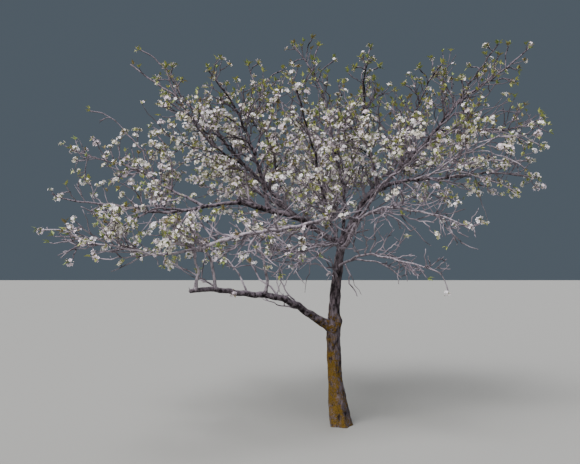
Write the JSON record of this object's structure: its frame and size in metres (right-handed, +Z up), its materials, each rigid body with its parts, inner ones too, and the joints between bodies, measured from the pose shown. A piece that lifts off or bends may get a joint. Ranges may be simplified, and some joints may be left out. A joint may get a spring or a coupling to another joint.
{
  "type": "cherry blossom tree",
  "caption": "Small spreading fruit tree in white blossom: leaning tapered trunk, crooked spreading boughs and open masses of twigs, flower clusters and young leaves.",
  "frame": {"origin": "on level ground under the middle of the trunk's foot, in the flat cut under the trunk", "axes": "+Z up; -Y towards the viewer of the picture; +X to the viewer's right, along the crown's longest reach"},
  "size_m": [4.8027, 3.9298, 3.8603],
  "materials": {
    "trunk_bark": "rough grey-brown bark with ochre lichen",
    "bough_bark": "rough purple-brown bark, grey where the light falls",
    "blossom": "soft white petals with yellow-green young leaves"
  },
  "bodies": {
    "root": {"trunk": "trunk_bark", "low_left_bough": "bough_bark", "low_left_inner_bough": "bough_bark", "low_left_outer_bough": "bough_bark", "left_bough": "bough_bark", "left_lower_bough": "bough_bark", "left_upper_bough": "bough_bark", "left_rising_bough": "bough_bark", "left_rising_side_bough": "bough_bark", "left_top_bough": "bough_bark", "left_top_side_bough": "bough_bark", "front_stem_bough": "bough_bark", "front_left_bough": "bough_bark", "front_left_end_bough": "bough_bark", "front_low_bough": "bough_bark", "front_up_bough": "bough_bark", "front_right_bough": "bough_bark", "right_bough": "bough_bark", "right_flat_bough": "bough_bark", "right_middle_bough": "bough_bark", "right_rising_bough": "bough_bark", "right_upper_bough": "bough_bark", "right_far_bough": "bough_bark", "right_shoot_bough": "bough_bark", "centre_right_bough": "bough_bark", "right_low_bough": "bough_bark", "right_bottom_bough": "bough_bark", "centre_bough": "bough_bark", "back_bough": "bough_bark", "back_top_bough": "bough_bark", "back_left_bough": "bough_bark", "back_right_bough": "bough_bark", "low_left_blossom": "blossom", "low_left_inner_blossom": "blossom", "low_left_outer_blossom": "blossom", "left_lower_blossom": "blossom", "left_upper_blossom": "blossom", "left_rising_blossom": "blossom", "left_rising_side_blossom": "blossom", "left_top_blossom": "blossom", "left_top_side_blossom": "blossom", "front_left_end_blossom": "blossom", "front_low_blossom": "blossom", "front_up_blossom": "blossom", "front_right_blossom": "blossom", "right_flat_blossom": "blossom", "right_middle_blossom": "blossom", "right_rising_blossom": "blossom", "right_upper_blossom": "blossom", "right_far_blossom": "blossom", "right_shoot_blossom": "blossom", "centre_right_blossom": "blossom", "right_low_blossom": "blossom", "right_bottom_blossom": "blossom", "centre_blossom": "blossom", "back_blossom": "blossom", "back_top_blossom": "blossom", "back_left_blossom": "blossom", "back_right_blossom": "blossom"}
  },
  "joints": []
}
